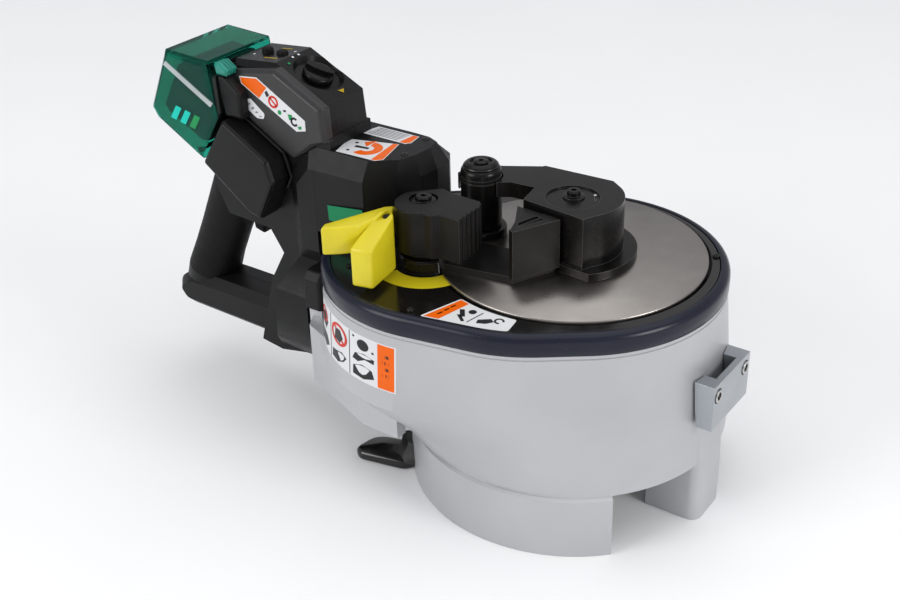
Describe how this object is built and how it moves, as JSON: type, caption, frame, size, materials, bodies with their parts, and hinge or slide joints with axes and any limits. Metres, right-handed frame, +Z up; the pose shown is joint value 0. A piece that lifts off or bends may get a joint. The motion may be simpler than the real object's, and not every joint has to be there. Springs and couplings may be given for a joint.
{
  "type": "rebar bender",
  "caption": "Cordless rebar bender: round gear case, turntable with centre former and bending roller, pivoting reaction block, angled motor body with D-handle and battery.",
  "frame": {"origin": "bottom centre of the whole machine's box, on the floor", "axes": "+X from the battery end towards the front bracket, +Y to the side away from the reaction block's guard, +Z up along the turntable's axis"},
  "size_m": [0.4098, 0.22, 0.2522],
  "materials": {
    "silver": "satin cast",
    "navy": "satin",
    "gloss_black": "gloss",
    "satin_steel": "brushed",
    "black_oxide": "black oxide",
    "bright_steel": "ground",
    "zinc": "zinc plated",
    "charcoal": "fine grain",
    "rubber": "matte",
    "yellow": "semi gloss",
    "green": "clear, tinted",
    "copper": "wound wire",
    "board": "circuit board"
  },
  "bodies": {
    "machine": {"gear_case": "silver", "rim_ring": "navy", "top_cover": "gloss_black", "cover_screw_1": "black_oxide", "cover_screw_2": "black_oxide", "cover_screw_3": "black_oxide", "cover_screw_4": "black_oxide", "foot_pad": "rubber", "front_bracket": "zinc", "bracket_bolt_1": "bright_steel", "bracket_bolt_2": "bright_steel", "pivot_pin": "black_oxide", "motor_stator": "copper", "main_bearing": "bright_steel", "shaft_bearing": "bright_steel", "layshaft_bearing_a": "bright_steel", "layshaft_bearing_b": "bright_steel", "housing_near": "charcoal", "housing_far": "charcoal", "motor_hood": "charcoal", "control_box": "charcoal", "controller_board": "board", "trigger_pin": "bright_steel", "switch_module": "charcoal", "side_cover": "charcoal", "cover_hinge_pin": "bright_steel", "cover_catch": "charcoal", "terminal_block": "charcoal", "battery_pack": "charcoal"},
    "turntable": {"turntable_disc": "satin_steel", "turntable_shaft": "bright_steel", "output_gear": "bright_steel", "forming_boss": "black_oxide", "boss_bolt": "black_oxide", "carrier_plate": "black_oxide", "roller_pin": "black_oxide", "roller_cap": "black_oxide"},
    "roller": {"bending_roller": "black_oxide"},
    "reaction": {"reaction_block": "black_oxide", "pivot_bolt": "black_oxide", "swing_guard": "yellow", "guard_screw": "black_oxide"},
    "shaft_b": {"layshaft_b": "bright_steel"},
    "shaft_a": {"layshaft_a": "bright_steel"},
    "rotor": {"motor_rotor": "bright_steel", "cooling_fan": "charcoal"},
    "trigger": {"trigger": "rubber"},
    "power_button": {"power_button": "rubber"},
    "mode_button": {"mode_button": "rubber"},
    "dial": {"angle_dial": "charcoal"},
    "cover": {"battery_cover": "green"},
    "latch": {"cover_latch": "green"}
  },
  "joints": [
    {"name": "turntable_turn", "type": "hinge", "parent": "machine", "child": "turntable", "pos_m": [0.09615, 0.00904, 0.15], "axis": [0, 0, -1], "range_deg": [0, 180]},
    {"name": "roller_spin", "type": "hinge", "parent": "turntable", "child": "roller", "pos_m": [0.03465, 0.00304, 0.175], "axis": [0, 0, 1], "continuous": true},
    {"name": "reaction_swing", "type": "hinge", "parent": "machine", "child": "reaction", "pos_m": [0.02765, -0.04666, 0.175], "axis": [0, 0, 1], "range_deg": [-12, 0]},
    {"name": "shaft_b_spin", "type": "hinge", "parent": "machine", "child": "shaft_b", "pos_m": [0.02755, -0.01596, 0.09], "axis": [0, 0, -1], "range_deg": [-577, 0]},
    {"name": "shaft_a_spin", "type": "hinge", "parent": "machine", "child": "shaft_a", "pos_m": [0.00115, -0.04895, 0.1], "axis": [0, 0, -1], "range_deg": [0, 1564]},
    {"name": "rotor_spin", "type": "hinge", "parent": "machine", "child": "rotor", "pos_m": [-0.02185, -0.02096, 0.17], "axis": [0, 0, -1], "range_deg": [-4431, 0]},
    {"name": "trigger_pull", "type": "hinge", "parent": "machine", "child": "trigger", "pos_m": [-0.12285, -0.02096, 0.147], "axis": [0, 1, 0], "range_deg": [0, 9], "stiffness_Nm_per_rad": 0.4, "springref_deg": -14.32},
    {"name": "power_button_press", "type": "slide", "parent": "machine", "child": "power_button", "axis": [0, 0, -1], "range_m": [0, 0.0015], "stiffness_N_per_m": 400, "springref_m": -0.002},
    {"name": "mode_button_press", "type": "slide", "parent": "machine", "child": "mode_button", "axis": [0, 0, -1], "range_m": [0, 0.0015], "stiffness_N_per_m": 400, "springref_m": -0.002},
    {"name": "dial_turn", "type": "hinge", "parent": "machine", "child": "dial", "pos_m": [-0.06685, -0.02295, 0.24245], "axis": [0.4291, 0, 0.9033], "range_deg": [0, 270]},
    {"name": "cover_open", "type": "hinge", "parent": "machine", "child": "cover", "pos_m": [-0.14035, -0.03195, 0.1885], "axis": [0, -1, 0], "range_deg": [0, 70]},
    {"name": "latch_lift", "type": "hinge", "parent": "cover", "child": "latch", "pos_m": [-0.12185, -0.05296, 0.2495], "axis": [0, -1, 0], "range_deg": [0, 20], "stiffness_Nm_per_rad": 0.05, "springref_deg": -11.46}
  ],
  "couplings": [
    {"joint": "shaft_b_spin", "follows": "turntable_turn", "ratio": -3.2},
    {"joint": "shaft_a_spin", "follows": "turntable_turn", "ratio": 8.6857},
    {"joint": "rotor_spin", "follows": "turntable_turn", "ratio": -24.61}
  ]
}
